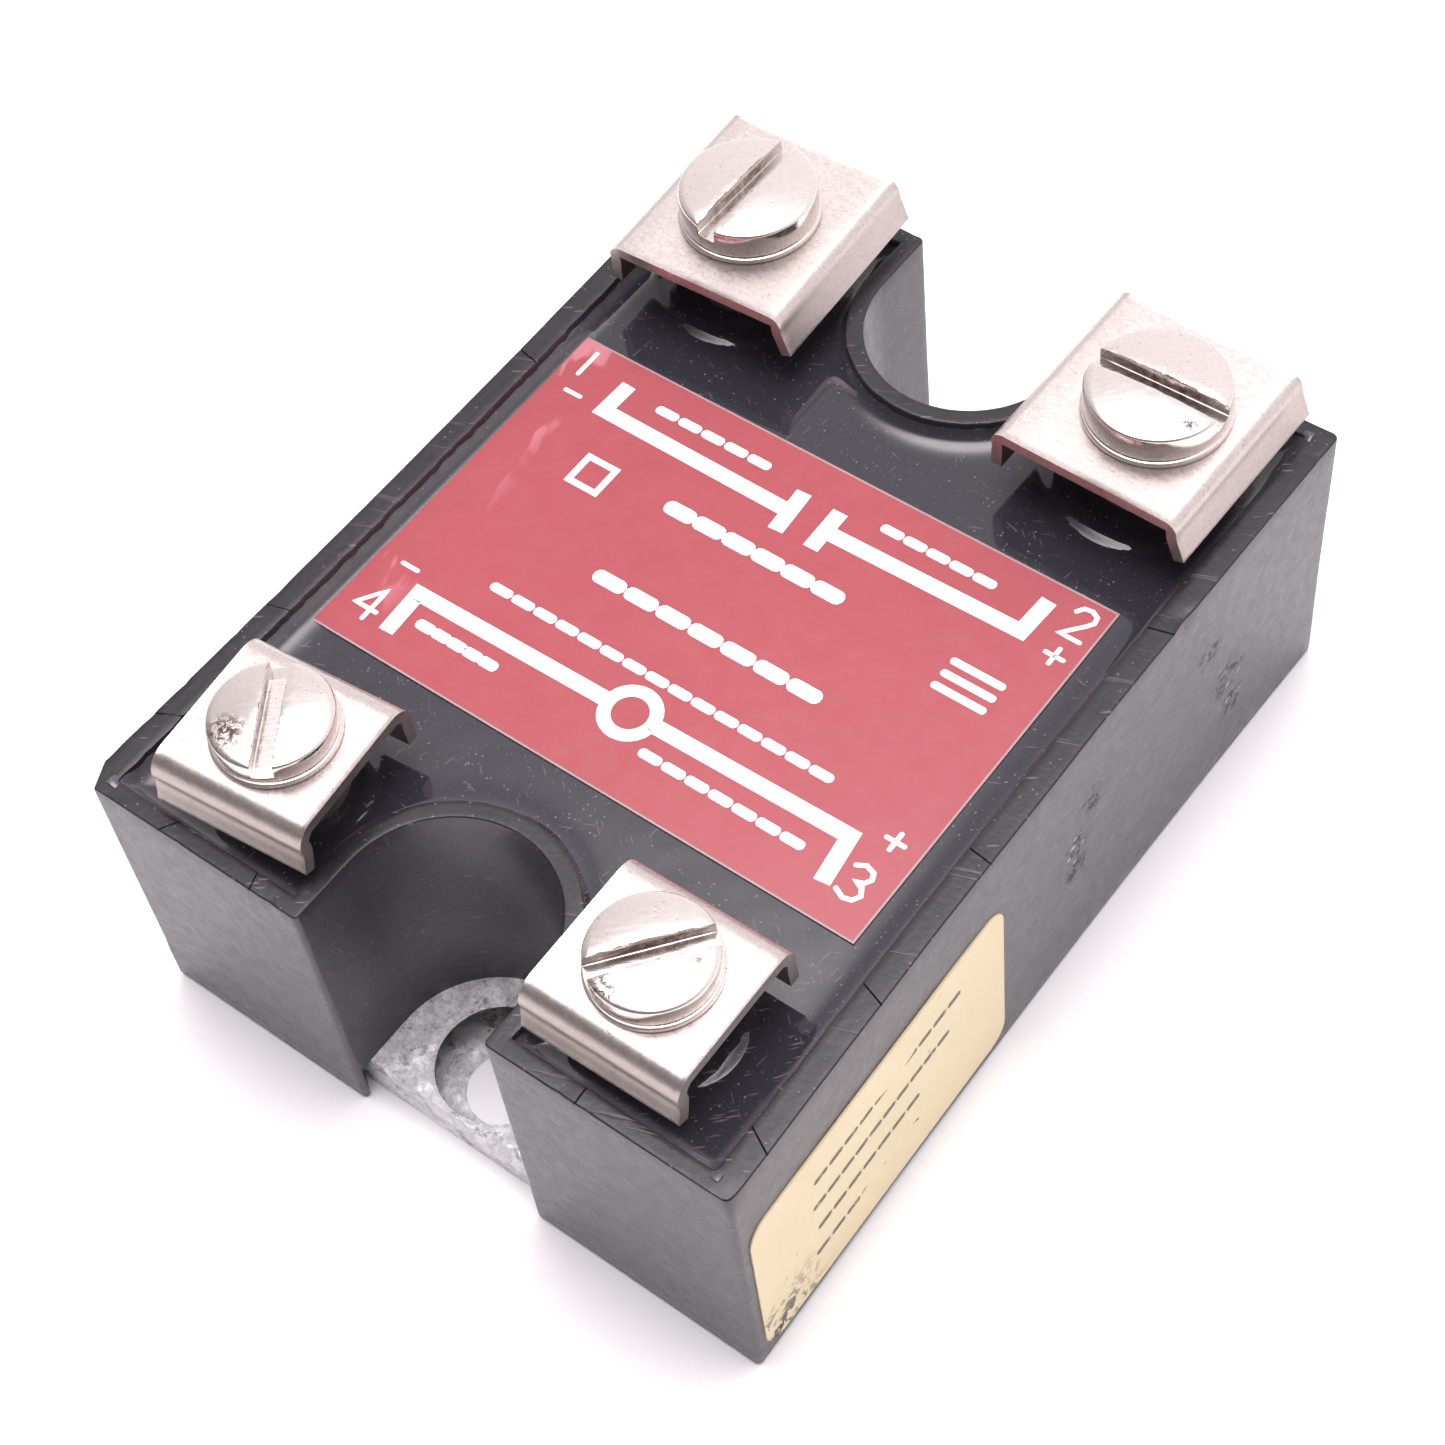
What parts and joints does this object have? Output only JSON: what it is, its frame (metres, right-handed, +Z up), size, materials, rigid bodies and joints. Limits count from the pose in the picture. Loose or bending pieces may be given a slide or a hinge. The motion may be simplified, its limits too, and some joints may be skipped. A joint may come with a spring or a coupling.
{
  "type": "solid state relay",
  "caption": "Potted solid state relay on an aluminium base plate, with slotted screw terminals, sheet-metal wire clamps and a mounting notch in each end.",
  "frame": {"origin": "centre of the underside, on the mounting plane", "axes": "+X towards the housing's right side, +Y towards the output end, +Z up out of the mounting plane"},
  "size_m": [0.0445, 0.058, 0.0269],
  "materials": {
    "housing_plastic": "moulded black phenolic, satin, scratched",
    "base_aluminium": "dull cast aluminium, scuffed",
    "epoxy": "glossy black potting epoxy",
    "alumina": "white ceramic",
    "copper": "bare copper",
    "tinned_copper": "dull tin plate",
    "component_black": "moulded epoxy, satin",
    "board_laminate": "glass-epoxy laminate",
    "resistor_body": "lacquered ceramic",
    "post_metal": "nickel-plated brass, turned",
    "nickel_plate": "nickel-plated steel, satin with fine wear",
    "label_red": "printed polyester label under a clear film",
    "label_yellow": "printed paper label"
  },
  "bodies": {
    "root": {"housing": "housing_plastic", "base_plate": "base_aluminium", "potting": "epoxy", "insulator": "alumina", "heat_spreader": "copper", "transistor_tab": "tinned_copper", "transistor_case": "component_black", "circuit_board": "board_laminate", "optocoupler": "component_black", "input_transistor": "component_black", "driver_transistor": "component_black", "input_resistor": "resistor_body", "bias_resistor": "resistor_body", "protection_diode": "component_black", "face_label": "label_red", "side_label": "label_yellow", "output_strap_1": "copper", "output_strap_2": "copper", "input_strap_3": "copper", "input_strap_4": "copper", "terminal_post_1": "post_metal", "terminal_post_2": "post_metal", "terminal_post_3": "post_metal", "terminal_post_4": "post_metal"},
    "washer_1": {"washer_1": "nickel_plate"},
    "clamp_1": {"clamp_plate_1": "nickel_plate"},
    "screw_1": {"screw_1": "nickel_plate"},
    "washer_2": {"washer_2": "nickel_plate"},
    "clamp_2": {"clamp_plate_2": "nickel_plate"},
    "screw_2": {"screw_2": "nickel_plate"},
    "washer_3": {"washer_3": "nickel_plate"},
    "clamp_3": {"clamp_plate_3": "nickel_plate"},
    "screw_3": {"screw_3": "nickel_plate"},
    "washer_4": {"washer_4": "nickel_plate"},
    "clamp_4": {"clamp_plate_4": "nickel_plate"},
    "screw_4": {"screw_4": "nickel_plate"}
  },
  "joints": [
    {"name": "clamp_1_lift", "type": "slide", "parent": "root", "child": "washer_1", "axis": [0, 0, 1], "range_m": [0, 0.00397]},
    {"name": "clamp_1_swivel", "type": "hinge", "parent": "washer_1", "child": "clamp_1", "pos_m": [-0.0142, 0.0221, 0.0245], "axis": [0, 0, 1], "range_deg": [-18, 18]},
    {"name": "screw_1_turn", "type": "hinge", "parent": "washer_1", "child": "screw_1", "pos_m": [-0.0142, 0.0221, 0.0245], "axis": [0, 0, 1], "range_deg": [0, 1800]},
    {"name": "clamp_2_lift", "type": "slide", "parent": "root", "child": "washer_2", "axis": [0, 0, 1], "range_m": [0, 0.00397]},
    {"name": "clamp_2_swivel", "type": "hinge", "parent": "washer_2", "child": "clamp_2", "pos_m": [0.0142, 0.0221, 0.0245], "axis": [0, 0, 1], "range_deg": [-18, 18]},
    {"name": "screw_2_turn", "type": "hinge", "parent": "washer_2", "child": "screw_2", "pos_m": [0.0142, 0.0221, 0.0245], "axis": [0, 0, 1], "range_deg": [0, 1800]},
    {"name": "clamp_3_lift", "type": "slide", "parent": "root", "child": "washer_3", "axis": [0, 0, 1], "range_m": [0, 0.00397]},
    {"name": "clamp_3_swivel", "type": "hinge", "parent": "washer_3", "child": "clamp_3", "pos_m": [0.0128, -0.0221, 0.0245], "axis": [0, 0, 1], "range_deg": [-18, 18]},
    {"name": "screw_3_turn", "type": "hinge", "parent": "washer_3", "child": "screw_3", "pos_m": [0.0128, -0.0221, 0.0245], "axis": [0, 0, 1], "range_deg": [0, 1800]},
    {"name": "clamp_4_lift", "type": "slide", "parent": "root", "child": "washer_4", "axis": [0, 0, 1], "range_m": [0, 0.00397]},
    {"name": "clamp_4_swivel", "type": "hinge", "parent": "washer_4", "child": "clamp_4", "pos_m": [-0.0128, -0.0221, 0.0245], "axis": [0, 0, 1], "range_deg": [-18, 18]},
    {"name": "screw_4_turn", "type": "hinge", "parent": "washer_4", "child": "screw_4", "pos_m": [-0.0128, -0.0221, 0.0245], "axis": [0, 0, 1], "range_deg": [0, 1800]}
  ],
  "couplings": [
    {"joint": "screw_1_turn", "follows": "clamp_1_lift", "rad_per_m": 7915.8},
    {"joint": "screw_2_turn", "follows": "clamp_2_lift", "rad_per_m": 7915.8},
    {"joint": "screw_3_turn", "follows": "clamp_3_lift", "rad_per_m": 7915.8},
    {"joint": "screw_4_turn", "follows": "clamp_4_lift", "rad_per_m": 7915.8}
  ]
}
